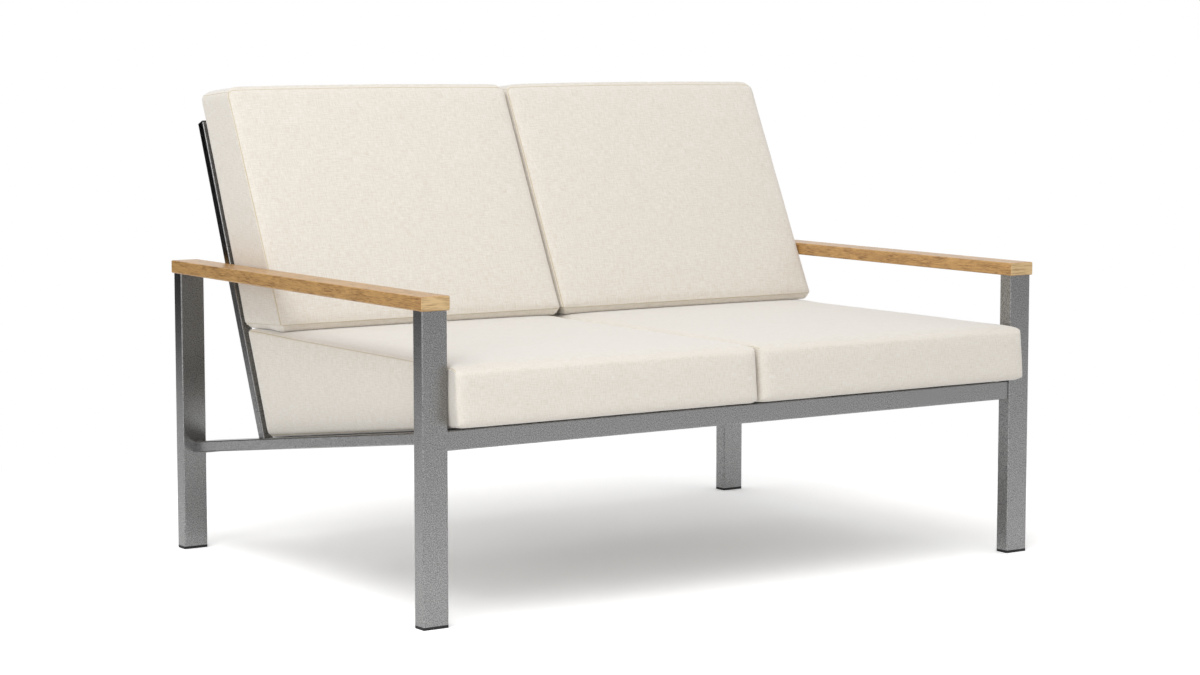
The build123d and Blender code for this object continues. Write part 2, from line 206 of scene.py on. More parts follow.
def woven_acrylic(settings):
    """Solution-dyed woven acrylic: matt, with a plain weave of slightly uneven threads.

    It gives the eye a warm off-white with a fine cross-hatch and a soft sheen at the
    edges. The threads are 0.6 mm apart on the real cloth and drawn coarser, so that
    they still show from across a terrace.
    """
    slub_length = 1 / 0.12          # of a thicker piece of thread, in thread spacings
    blotch = 45 * MM                # across a patch of slightly darker cloth
    material, tree = new_material("woven_acrylic")
    cloth = add_node(tree, "ShaderNodeUVMap", uv_map="weave").outputs[0]
    fine = 1 / settings.thread_spacing
    drawn_out = fine / slub_length
    streaks = []
    for across, along in ((fine, drawn_out), (drawn_out, fine)):
        place = add_node(
            tree, "ShaderNodeMapping", {"Vector": cloth, "Scale": (across, along, 1.0)}
        )
        streak = add_node(
            tree, "ShaderNodeTexNoise",
            {"Vector": place.outputs[0], "Scale": 1.0, "Detail": 2.0, "Roughness": 0.6},
        )
        streaks.append(streak.outputs[0])
    both = add_node(tree, "ShaderNodeMath", {0: streaks[0], 1: streaks[1]}, operation="ADD")
    half = add_node(tree, "ShaderNodeMath", {0: both.outputs[0], 1: 0.5}, operation="MULTIPLY")
    blotches = add_node(
        tree, "ShaderNodeTexNoise", {"Vector": cloth, "Scale": 1 / blotch, "Detail": 2.0}
    )
    mottle = add_node(
        tree, "ShaderNodeMath", {0: blotches.outputs[0], 1: 0.08, 2: half.outputs[0]},
        operation="MULTIPLY_ADD",
    )
    share = add_node(
        tree, "ShaderNodeMapRange",
        {"Value": mottle.outputs[0], "From Min": 0.42, "From Max": 0.68},
    )
    cover = add_node(
        tree, "ShaderNodeMix",
        {0: share.outputs[0], 6: opaque(settings.fabric), 7: opaque(settings.slub)},
        data_type="RGBA",
    )
    seam = add_node(tree, "ShaderNodeAttribute", attribute_name="seam").outputs[2]
    colour = add_node(
        tree, "ShaderNodeMix",
        {0: seam, 6: cover.outputs[2], 7: opaque(settings.seam)},
        data_type="RGBA",
    )
    bump = add_node(
        tree, "ShaderNodeBump",
        {"Height": half.outputs[0], "Strength": 0.35, "Distance": 0.5 * MM},
    )
    shader = add_node(
        tree, "ShaderNodeBsdfPrincipled",
        {
            "Base Color": colour.outputs[2], "Roughness": 0.9, "IOR": 1.45,
            "Sheen Weight": 0.95, "Sheen Roughness": 0.35, "Specular IOR Level": 0.25,
            "Normal": bump.outputs[0],
        },
    )
    finish_material(tree, shader)
    return material


def oiled_teak(settings):
    """Planed and oiled teak: satin, with long straight grain along the board.

    It gives the eye a warm honey brown with fine darker lines and short open pores. A
    pore is 0.3 mm wide on the real wood and drawn coarser, so that it shows. The sawn
    ends carry a ring figure in a tone painted lighter, a painted highlight for the
    light that the ends catch.
    """
    # Sizes of each figure: across the board, along it, and through its thickness
    bend_size = (111 * MM, 455 * MM, 111 * MM)
    width = settings.grain_width
    grain_size = (width, 12.5 * width, width)
    pore_size = (1.3 * MM, 16 * MM, 1.3 * MM)
    patch_size = (16 * MM, 45 * MM, 16 * MM)
    ring_size = (26 * MM, 26 * MM, 2.4 * MM)
    saw_depth = 0.5 * MM            # how near an end of the board end grain shows
    material, tree = new_material("oiled_teak")
    place = add_node(tree, "ShaderNodeTexCoord").outputs["Object"]
    figures = []
    for size in (bend_size, grain_size, pore_size, patch_size, ring_size):
        scale = tuple(1 / length for length in size)
        figure = add_node(tree, "ShaderNodeMapping", {"Vector": place, "Scale": scale})
        figures.append(figure.outputs[0])
    bend_place, grain_place, pore_place, patch_place, ring_place = figures
    bent = add_node(
        tree, "ShaderNodeTexNoise", {"Vector": bend_place, "Scale": 1.0, "Detail": 2.0}
    )
    drifted = add_node(
        tree, "ShaderNodeVectorMath",
        {0: grain_place, 1: bent.outputs["Color"]}, operation="ADD",
    )
    lines = add_node(
        tree, "ShaderNodeTexNoise",
        {"Vector": drifted.outputs[0], "Scale": 1.0, "Detail": 5.0, "Roughness": 0.75},
    )
    grain = add_node(
        tree, "ShaderNodeMapRange",
        {"Value": lines.outputs[0], "From Min": 0.36, "From Max": 0.68},
    )
    pores = add_node(
        tree, "ShaderNodeTexNoise", {"Vector": pore_place, "Scale": 1.0, "Detail": 1.0}
    )
    open_pores = add_node(
        tree, "ShaderNodeMapRange",
        {"Value": pores.outputs[0], "From Min": 0.56, "From Max": 0.70, "To Max": 0.6},
    )
    patches = add_node(
        tree, "ShaderNodeTexNoise", {"Vector": patch_place, "Scale": 1.0, "Detail": 1.0}
    )
    depth = add_node(
        tree, "ShaderNodeMapRange",
        {"Value": patches.outputs[0], "From Min": 0.38, "From Max": 0.62, "To Min": 0.55},
    )
    both = add_node(
        tree, "ShaderNodeMath", {0: grain.outputs[0], 1: open_pores.outputs[0]}, operation="ADD"
    )
    share = add_node(
        tree, "ShaderNodeMath", {0: both.outputs[0], 1: depth.outputs[0]},
        operation="MULTIPLY", use_clamp=True,
    )
    plank = add_node(
        tree, "ShaderNodeMix",
        {0: share.outputs[0], 6: opaque(settings.early_wood), 7: opaque(settings.late_wood)},
        data_type="RGBA",
    )
    low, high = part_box("armrest_left")
    middle, half = (low.y + high.y) / 2, (high.y - low.y) / 2
    along = add_node(tree, "ShaderNodeSeparateXYZ", {0: place}).outputs["Y"]
    offset = add_node(tree, "ShaderNodeMath", {0: along, 1: middle}, operation="SUBTRACT")
    reach = add_node(tree, "ShaderNodeMath", {0: offset.outputs[0]}, operation="ABSOLUTE")
    # Near either end the board takes the sawn colour: the ring figure of real end grain, in a tone
    # painted lighter than the planed wood as a painted highlight
    end = add_node(
        tree, "ShaderNodeMath", {0: reach.outputs[0], 1: half - saw_depth},
        operation="GREATER_THAN",
    )
    rings = add_node(
        tree, "ShaderNodeTexNoise", {"Vector": ring_place, "Scale": 1.0, "Detail": 3.0}
    )
    sawn_share = add_node(
        tree, "ShaderNodeMapRange",
        {"Value": rings.outputs[0], "From Min": 0.42, "From Max": 0.7, "To Max": 0.6},
    )
    sawn = add_node(
        tree, "ShaderNodeMix",
        {0: sawn_share.outputs[0], 6: opaque(settings.end_grain_painted_lighter), 7: opaque(settings.late_wood)},
        data_type="RGBA",
    )
    colour = add_node(
        tree, "ShaderNodeMix",
        {0: end.outputs[0], 6: plank.outputs[2], 7: sawn.outputs[2]},
        data_type="RGBA",
    )
    bump = add_node(
        tree, "ShaderNodeBump",
        {"Height": share.outputs[0], "Strength": 0.25, "Distance": -0.2 * MM},
    )
    shader = add_node(
        tree, "ShaderNodeBsdfPrincipled",
        {
            "Base Color": colour.outputs[2], "Roughness": 0.4, "IOR": 1.5,
            "Coat Weight": 0.3, "Coat Roughness": 0.3, "Normal": bump.outputs[0],
        },
    )
    finish_material(tree, shader)
    return material


def powder_coat(settings):
    """Baked powder coat with metal flake: satin, with a fine orange-peel and grain.

    It gives the eye a mid grey that darkens and brightens with what it faces. The
    grains are about 0.4 mm across on real paint and drawn coarser, so that they show.
    """
    material, tree = new_material("powder_coat")
    place = add_node(tree, "ShaderNodeTexCoord").outputs["Object"]
    grains = add_node(
        tree, "ShaderNodeTexNoise",
        {"Vector": place, "Scale": 1 / settings.grit, "Detail": 2.0, "Roughness": 0.7},
    )
    share = add_node(
        tree, "ShaderNodeMapRange",
        {"Value": grains.outputs[0], "From Min": 0.35, "From Max": 0.65},
    )
    colour = add_node(
        tree, "ShaderNodeMix",
        {0: share.outputs[0], 6: opaque(settings.powder_dark), 7: opaque(settings.powder)},
        data_type="RGBA",
    )
    bump = add_node(
        tree, "ShaderNodeBump",
        {"Height": grains.outputs[0], "Strength": 0.3, "Distance": 0.15 * MM},
    )
    shader = add_node(
        tree, "ShaderNodeBsdfPrincipled",
        {
            "Base Color": colour.outputs[2], "Metallic": 1.0, "Roughness": 0.3,
            "Normal": bump.outputs[0],
        },
    )
    finish_material(tree, shader)
    return material


def moulded_plastic(settings):
    """Moulded polypropylene: nearly black, with the matt grain of a spark-eroded mould.

    It gives the eye a dull black edge below the paint. The grain is about 0.2 mm across
    on the real part and drawn coarser, so that it shows.
    """
    grain = 0.8 * MM
    material, tree = new_material("moulded_polypropylene")
    place = add_node(tree, "ShaderNodeTexCoord").outputs["Object"]
    texture = add_node(
        tree, "ShaderNodeTexNoise", {"Vector": place, "Scale": 1 / grain, "Detail": 1.0}
    )
    bump = add_node(
        tree, "ShaderNodeBump",
        {"Height": texture.outputs[0], "Strength": 0.3, "Distance": 0.1 * MM},
    )
    rough = add_node(
        tree, "ShaderNodeMapRange",
        {"Value": texture.outputs[0], "To Min": 0.45, "To Max": 0.65},
    )
    shader = add_node(
        tree, "ShaderNodeBsdfPrincipled",
        {
            "Base Color": opaque(settings.plastic), "Roughness": rough.outputs[0], "IOR": 1.49,
            "Normal": bump.outputs[0],
        },
    )
    finish_material(tree, shader)
    return material


def turned_steel():
    """Turned stainless steel of screws and bolts: bright, with fine tool marks.

    It gives the eye small glints. The marks are about 0.1 mm apart on the real part and
    drawn coarser, so that they show.
    """
    mark = 0.5 * MM
    material, tree = new_material("turned_steel")
    place = add_node(tree, "ShaderNodeTexCoord").outputs["Object"]
    marks = add_node(
        tree, "ShaderNodeTexNoise", {"Vector": place, "Scale": 1 / mark, "Detail": 1.0}
    )
    rough = add_node(
        tree, "ShaderNodeMapRange",
        {"Value": marks.outputs[0], "To Min": 0.25, "To Max": 0.45},
    )
    shader = add_node(
        tree, "ShaderNodeBsdfPrincipled",
        {"Base Color": opaque(linear("b9bab8")), "Metallic": 1.0, "Roughness": rough.outputs[0]},
    )
    finish_material(tree, shader)
    return material


def dress(names, material):
    """Gives CAD pieces a material."""
    for name in names:
        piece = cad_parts[name]
        if not piece.material_slots:
            piece.data.materials.append(material)
        for slot in piece.material_slots:
            slot.material = material


# Cushions

EDGE_STEPS = (0.0, 1.6 * MM, 4 * MM, 8 * MM, 13 * MM, 20 * MM)  # of the loops beside a seam
PANEL_STEP = 19 * MM            # from loop to loop in the middle of a panel
ON_EDGE = 1e-9                  # a point nearer an edge than this lies on it

INNER = 2.5 * MM                # from the middle of the sofa to a cushion's inner side
OUTER = 606.6 * MM              # and to its outer side
SIDE_DRAW = 1.0 * MM            # how far a side draws in between its corners
SIDE_DRAW_RISE = 2.2            # how steeply it draws in behind a corner
SIDE_DRAW_SHAPE = 0.8           # how full its curve is
BOW_SHAPE = 0.7                 # how full the bow of an end is
FULLNESS = (0.5, 0.1, 0.3)      # how soon a side, an end and a broad panel fill out
RAIL_SHARE = 0.115              # of a seat cushion's length, to where it leaves the rail
FLARE_SHARE = 0.06              # of a cushion's length, over which its corner draws in

PRESSED_FRONT = (598.0, 436.0)  # where the flat between two cushions starts, as in_frame
PRESSED_REAR = (745.0, 433.0)   # and where it ends
PRESSED_CROWN = 1.8 * MM        # how much higher the flat is in the middle of a cushion
PRESSED_GAP = 0.4 * MM          # between the two cushions
PRESSED_EASE = 7 * MM           # how soon a seat cushion rises ahead of the flat
PRESSED_REACH = 12 * MM         # cloth nearer the flat than this is drawn to it
PRESSED_FADE = 40 * MM          # ahead of the flat, over which that drawing ends

WEAVE_SHIFT = 0.37              # metres of cloth, from one direction's panels to the next's
WEAVE_SHIFT_FAR = 0.8           # and from a panel to the one across from it
CLOTH_QUALITY = 6               # steps of the filling's simulation in each frame
RIPPLE_LENGTH = 34 * MM         # of the puckers
SAG_LENGTH = 150 * MM           # of the broad unevenness of the filling
SAG = 0.5 * MM                  # how deep that unevenness is


def in_frame(depth, height):
    """A point given in mm behind the front legs' front faces and above the floor."""
    return Vector((0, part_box("leg_front_left")[0].y + depth * MM, height * MM))


def arch(share, shape=1.0):
    """Rises from 0 at one end to 1 in the middle, and falls to 0 at the other end."""
    return (4 * share * (1 - share)) ** shape


class Cushion:
    """What one cushion is cut to.

    Its three directions are across (0 at the middle of the sofa, 1 at the arm), along
    (0 at the front or bottom, 1 at the rear or top) and through (0 at the panel that
    rests on the frame, 1 at the panel that is sat on or leaned on).
    """

    def __init__(
        self, name, side, lows, highs, swells, profile, edges, bows, lift, flare, pressed
    ):
        self.name = name
        self.side = side            # -1 for the left one, 1 for the right one
        self.lows = lows            # ends of the seam lines of the resting panel
        self.highs = highs          # ends of the seam lines of the panel that is used
        self.swells = swells        # of the panels: two sides, two ends, resting and used
        self.profile = profile      # radii seen from the side, by (along, through)
        self.edges = edges          # radii where a side meets the panels, then the ends
        self.bows = bows            # how far the middle of an end stands out
        self.lift = lift            # where the resting panel passes over the front rail
        self.flare = flare          # how far its outer front corner stands out
        self.pressed = pressed      # 1 if it rests on another cushion, -1 if it carries one

    def at(self, along, through):
        """A point of its outline, seen from the side."""
        low = self.lows[0].lerp(self.lows[1], along)
        high = self.highs[0].lerp(self.highs[1], along)
        return low.lerp(high, through)


def stations(length):
    """Where the loops of a panel lie, from one of its edges to the other."""
    middle = length - 2 * EDGE_STEPS[-1]
    count = max(2, round(middle / PANEL_STEP))
    inside = [EDGE_STEPS[-1] + middle * place / count for place in range(1, count)]
    end = [length - step for step in reversed(EDGE_STEPS)]
    return [*EDGE_STEPS, *inside, *end]


def grid_box(counts):
    """A cube from 0 to each count, cut into unit squares."""
    mesh = bmesh.new()
    bmesh.ops.create_cube(mesh, size=1.0)
    bmesh.ops.translate(mesh, verts=mesh.verts, vec=(0.5, 0.5, 0.5))
    for axis in range(3):
        lines = []
        for edge in mesh.edges:
            span = edge.verts[1].co - edge.verts[0].co
            if abs(span[axis]) > 0.5:
                lines.append(edge)
        bmesh.ops.subdivide_edges(mesh, edges=lines, cuts=counts[axis] - 1, use_grid_fill=True)
    return mesh


def lay_weave(mesh, flat):
    """Lays the weave on each panel of a boxed cover, in metres of cloth."""
    weave = mesh.loops.layers.uv.new("weave")
    for face in mesh.faces:
        corners = [flat[vert.index] for vert in face.verts]
        spans = [max(spot) - min(spot) for spot in zip(*corners)]
        still = next(axis for axis in range(3) if spans[axis] < ON_EDGE)
        first, second = (axis for axis in range(3) if axis != still)
        shift = WEAVE_SHIFT * still + (WEAVE_SHIFT_FAR if corners[0][still] > ON_EDGE else 0.0)
        for loop in face.loops:
            spot = flat[loop.vert.index]
            loop[weave].uv = (spot[first] + shift, spot[second] + 2 * shift)


def rounded(first, second, radius):
    """Distances from two edges, drawn onto an arc near the corner where they meet."""
    if first >= radius or second >= radius:
        return first, second
    across, up = radius - first, radius - second
    reach = math.hypot(across, up)
    if reach == 0:
        return first, second
    scale = max(across, up) / reach
    return radius - across * scale, radius - up * scale


def round_corner(spots, axes, ends, radius, lengths):
    """Rounds a cushion along one edge, in the plane of two of its directions."""
    for spot in spots:
        near = []
        for axis, end in zip(axes, ends):
            near.append(spot[axis] if end == 0 else lengths[axis] - spot[axis])
        for axis, end, moved in zip(axes, ends, rounded(*near, radius)):
            spot[axis] = moved if end == 0 else lengths[axis] - moved


def shaped(cushion, spot, lengths):
    """Where a point of the boxed cover goes on the cushion."""
    across, along, through = (spot[axis] / lengths[axis] for axis in range(3))
    drawn = SIDE_DRAW * min(1.0, SIDE_DRAW_RISE * arch(along, SIDE_DRAW_SHAPE))
    flare = cushion.flare * max(0.0, 1 - along / FLARE_SHARE) ** 2
    reach = INNER + drawn + (lengths[0] - 2 * drawn + flare) * across
    centre = cushion.at(along, through)
    line = (cushion.at(1, through) - cushion.at(0, through)).normalized()
    bow = cushion.bows[1] * along**3 - cushion.bows[0] * (1 - along) ** 3
    centre += line * arch(across, BOW_SHAPE) * bow
    over = min(along / RAIL_SHARE, max(0.0, 2 - along / RAIL_SHARE))
    centre.z += cushion.lift * over * (1 - through)
    return Vector((cushion.side * reach, centre.y, centre.z))


def cut_cover(cushion):
    """The cover of a cushion, sewn up but not filled.

    Gives its mesh object, where each of its points lies on a plain boxed cover, and the
    three lengths of that box.
    """
    lengths = (
        OUTER - INNER,
        (cushion.at(1, 0.5) - cushion.at(0, 0.5)).length,
        (cushion.at(0.5, 1) - cushion.at(0.5, 0)).length,
    )
    loops = [stations(length) for length in lengths]
    counts = [len(line) - 1 for line in loops]
    mesh = grid_box(counts)
    seam = mesh.verts.layers.float.new("seam")
    flat = []
    for vert in mesh.verts:
        place = [round(vert.co[axis] * counts[axis]) for axis in range(3)]
        flat.append(tuple(loops[axis][place[axis]] for axis in range(3)))
        ends = [place[axis] in (0, counts[axis]) for axis in range(3)]
        # A seat cushion's panel is wrapped over its ends, with seams at its sides only
        wrapped = cushion.pressed < 0
        sewn = ends[0] and ends[2] if wrapped else sum(ends) > 1
        vert[seam] = 1.0 if sewn else 0.0
    mesh.verts.index_update()
    lay_weave(mesh, flat)
    spots = [list(spot) for spot in flat]
    for ends, radius in cushion.profile.items():
        round_corner(spots, (1, 2), ends, radius, lengths)
    for across in (0, 1):
        for end in (0, 1):
            round_corner(spots, (0, 2), (across, end), cushion.edges[0][end], lengths)
            round_corner(spots, (0, 1), (across, end), cushion.edges[1][end], lengths)
    for vert, spot in zip(mesh.verts, spots):
        vert.co = shaped(cushion, spot, lengths)
    if cushion.side < 0:
        bmesh.ops.reverse_faces(mesh, faces=mesh.faces)
    return add_object(cushion.name + "_cover", mesh), flat, lengths


def fill_cover(cover, seams, settings):
    """Where the points of a cover go when its filling presses on it."""
    held = cover.vertex_groups.new(name="held")
    held.add(seams, 1.0, "REPLACE")
    cloth = cover.modifiers.new("filling", "CLOTH")
    cloth.settings.quality = CLOTH_QUALITY
    cloth.settings.use_pressure = True
    cloth.settings.uniform_pressure_force = settings.filling_pressure
    cloth.settings.effector_weights.gravity = 0.0
    cloth.settings.vertex_group_mass = "held"
    cloth.collision_settings.use_collision = False
    cloth.point_cache.frame_start = 1
    cloth.point_cache.frame_end = settings.filling_frames
    for number in range(1, settings.filling_frames + 1):
        bpy.context.scene.frame_set(number)
    filled = cover.evaluated_get(bpy.context.evaluated_depsgraph_get())
    places = [vert.co.copy() for vert in filled.data.vertices]
    cover.modifiers.remove(cloth)
    cover.vertex_groups.remove(held)
    bpy.context.scene.frame_set(1)
    return places


def sort_points(flat, lengths):
    """The points on the edges of a boxed cover, and those inside each of its panels."""
    edges = []
    panels = {}
    for index, spot in enumerate(flat):
        faces = []
        for axis in range(3):
            if spot[axis] < ON_EDGE:
                faces.append((axis, 0))
            elif spot[axis] > lengths[axis] - ON_EDGE:
                faces.append((axis, 1))
        if len(faces) > 1:
            edges.append(index)
        else:
            panels.setdefault(faces[0], []).append(index)
    return edges, panels


def drawn_crown(spot, lengths, axis):
    """How far a point of a panel stands up, from 0 at its edges to 1 in its middle."""
    height = 1.0
    for other in range(3):
        if other != axis:
            height *= arch(spot[other] / lengths[other])
    return height


def panel_direction(cushion, axis, end):
    """The way a panel of a cushion faces."""
    if axis == 0:
        out = Vector((cushion.side, 0, 0))
    else:
        if axis == 1:
            out = cushion.at(1, 0.5) - cushion.at(0, 0.5)
            line = cushion.highs[end] - cushion.lows[end]
        else:
            out = cushion.at(0.5, 1) - cushion.at(0.5, 0)
            line = cushion.at(1, end) - cushion.at(0, end)
        line.normalize()
        out = (out - line * out.dot(line)).normalized()
    return out if end else -out


def puff_up(cushion, cover, flat, lengths, settings):
    """Fills a cover, and holds the swell of each of its panels to what it is cut for."""
    verts = cover.data.vertices
    rest = [vert.co.copy() for vert in verts]
    edges, panels = sort_points(flat, lengths)
    filled = fill_cover(cover, edges, settings)
    for (axis, end), members in panels.items():
        out = panel_direction(cushion, axis, end)
        if filled:
            heights = [max(0.0, (filled[index] - rest[index]).dot(out)) for index in members]
        else:
            heights = [drawn_crown(flat[index], lengths, axis) for index in members]
        top = max(heights)
        for index, height in zip(members, heights):
            share = (height / top) ** FULLNESS[axis] if top > 0 else 0.0
            verts[index].co = rest[index] + out * (cushion.swells[2 * axis + end] * share)


def sew(cushion, cover, settings):
    """Pulls the seams in and ripples the cloth beside them."""
    mesh = bmesh.new()
    mesh.from_mesh(cover.data)
    mesh.normal_update()
    seam = mesh.verts.layers.float["seam"]
    own_place = Vector((cushion.side, 3, 7))    # so that the two of a pair sag differently
    offsets = []
    for vert in mesh.verts:
        if vert[seam] > 0.5:
            move = -settings.seam_depth
        else:
            ripple = noise.noise(vert.co / RIPPLE_LENGTH) * settings.pucker
            move = ripple + noise.noise(vert.co / SAG_LENGTH + own_place) * SAG
        offsets.append(vert.normal * move)
    for vert, offset in zip(mesh.verts, offsets):
        vert.co += offset
    mesh.to_mesh(cover.data)
    mesh.free()


def press(cushion, verts):
    """Flattens a cushion where a back cushion rests on a seat cushion."""
    front, rear = in_frame(*PRESSED_FRONT), in_frame(*PRESSED_REAR)
    for vert in verts:
        share = (vert.co.y - front.y) / (rear.y - front.y)
        across = min(1.0, max(0.0, (abs(vert.co.x) - INNER) / (OUTER - INNER)))
        height = front.z + (rear.z - front.z) * share + PRESSED_CROWN * arch(across, 0.5)
        height += cushion.pressed * PRESSED_GAP / 2
        if cushion.pressed < 0:
            height -= PRESSED_EASE * min(0.0, share)
        gap = (vert.co.z - height) * cushion.pressed
        near = gap / PRESSED_REACH
        if near <= 0:
            vert.co.z = height
        elif near < 1:
            ahead = max(0.0, front.y - vert.co.y) / PRESSED_FADE
            drawn = gap - PRESSED_REACH * near**2 * (2 - near)
            vert.co.z -= cushion.pressed * drawn * max(0.0, 1 - ahead)


def make_cushion(cushion, settings, material):
    """Makes one finished cushion that stands for its CAD solid."""
    cover, flat, lengths = cut_cover(cushion)
    puff_up(cushion, cover, flat, lengths, settings)
    sew(cushion, cover, settings)
    press(cushion, cover.data.vertices)
    smooth = cover.modifiers.new("smooth", "SUBSURF")
    smooth.levels = 1
    smooth.render_levels = 1
    cover.data.materials.append(material)
    for face in cover.data.polygons:
        face.use_smooth = True
    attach(cover, cushion.name)
    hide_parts(cushion.name)


def make_pair(context, kind, **cut):
    """Makes the left and the right cushion of a kind, cut alike."""
    settings = context.scene.sofa_cushions
    cloth = bpy.data.materials.get("woven_acrylic") or woven_acrylic(settings)
    for side, end in ((-1, "_left"), (1, "_right")):
        make_cushion(Cushion(kind + end, side, **cut), settings, cloth)


# Operators


class OBJECT_OT_sofa_frame(bpy.types.Operator):
    """Paints the tubes of the frame"""

    bl_idname = "object.sofa_frame"
    bl_label = "Frame"

    def execute(self, context):
        paint = powder_coat(context.scene.sofa_frame)
        tubes = [
            "front_rail", "rear_rail", "seat_centre_rail", "back_rail_bottom", "back_rail_top",
            "back_slats", "leg_top_plates",
        ]
        for side in ("left", "right"):
            for name in ("leg_front_", "leg_rear_", "side_rail_", "seat_slats_", "back_post_"):
                tubes.append(name + side)
        dress(tubes, paint)
        return {"FINISHED"}


class OBJECT_OT_sofa_fittings(bpy.types.Operator):
    """Finishes the plastic feet and caps, and the screws and bolts"""

    bl_idname = "object.sofa_fittings"
    bl_label = "Feet, caps and screws"

    def execute(self, context):
        plastic = moulded_plastic(context.scene.sofa_frame)
        names = ["post_caps"]
        for side in ("left", "right"):
            names += ["foot_front_" + side, "foot_rear_" + side]
        dress(names, plastic)
        dress(["arm_screws", "arm_tie_bolts"], turned_steel())
        return {"FINISHED"}


class OBJECT_OT_sofa_arms(bpy.types.Operator):
    """Oils the two wooden armrests"""

    bl_idname = "object.sofa_arms"
    bl_label = "Armrests"

    def execute(self, context):
        dress(["armrest_left", "armrest_right"], oiled_teak(context.scene.sofa_arms))
        return {"FINISHED"}


class OBJECT_OT_sofa_seat_cushions(bpy.types.Operator):
    """Sews and fills the two wedge seat cushions"""

    bl_idname = "object.sofa_seat_cushions"
    bl_label = "Seat cushions"

    def execute(self, context):
        make_pair(
            context, "seat_cushion",
            lows=(in_frame(-41.0, 334.0), in_frame(655.4, 238.4)),
            highs=(in_frame(-32.0, 430.0), in_frame(733.0, 430.0)),
            swells=(1.4 * MM, 3.0 * MM, 1.5 * MM, 4.5 * MM, 0.0, 9.5 * MM),
            profile={(0, 0): 15 * MM, (0, 1): 17 * MM, (1, 0): 11 * MM, (1, 1): 8 * MM},
            edges=((11 * MM, 4 * MM), (15 * MM, 8 * MM)),
            bows=(0.0, 0.0),
            lift=4.4 * MM,
            flare=10.5 * MM,
            pressed=-1,
        )
        return {"FINISHED"}


class OBJECT_OT_sofa_back_cushions(bpy.types.Operator):
    """Sews and fills the two back cushions"""

    bl_idname = "object.sofa_back_cushions"
    bl_label = "Back cushions"

    def execute(self, context):
        make_pair(
            context, "back_cushion",
            lows=(in_frame(743.2, 440.5), in_frame(917.6, 860.7)),
            highs=(in_frame(596.4, 448.0), in_frame(803.4, 871.2)),
            swells=(1.4 * MM, 0.6 * MM, 14.0 * MM, 6.5 * MM, 7.5 * MM, 9.0 * MM),
            profile={(0, 0): 6 * MM, (0, 1): 4 * MM, (1, 0): 8 * MM, (1, 1): 4 * MM},
            edges=((7 * MM, 3 * MM), (6 * MM, 14 * MM)),
            bows=(0.0, 3.0 * MM),
            lift=0.0,
            flare=0.0,
            pressed=1,
        )
        return {"FINISHED"}


# Stage, in metres and degrees

FLOOR_HALF = 14.0               # from the middle of the floor to its edge
FLOOR_PALENESS = 1.47           # round the sofa, so that it is white where no shadow falls
MIRRORED_PALENESS = 1.2         # of the same floor, as the paint mirrors it
SHADOW_FADE = (0.6, 1.7)        # distances over which the floor turns plain white
SOFA_MIDDLE = Vector((0, 0, 0.45))
KEY_PLACE, KEY_SIZE = (-1.9, -1.5, 4.2), 3.0
FILL_PLACE, FILL_SIZE = (-3.0, -2.8, 0.9), 2.0
CARDS = (                       # name, place, turn, width and height, brightness
    ("left_card", (-2.8, 2.35, 1.3), 30, (5.4, 2.6), 0.0),
    ("right_card", (1.6, -3.6, 1.3), 210, (5.0, 2.6), 0.5),
)
CAMERA_PLACE = (-2.9385, -3.9232, 0.9575)   # its depth is from the legs' front faces
CAMERA_TILT, CAMERA_TURN = 84.02, -33.80


def seen_rays(tree, paths):
    """1 for rays from the camera, also through gloss or glass, and 0 for light."""
    seen = paths.outputs["Is Camera Ray"]
    for kind in ("Is Glossy Ray", "Is Transmission Ray"):
        both = {0: seen, 1: paths.outputs[kind]}
        seen = add_node(tree, "ShaderNodeMath", both, operation="MAXIMUM").outputs[0]
    return seen


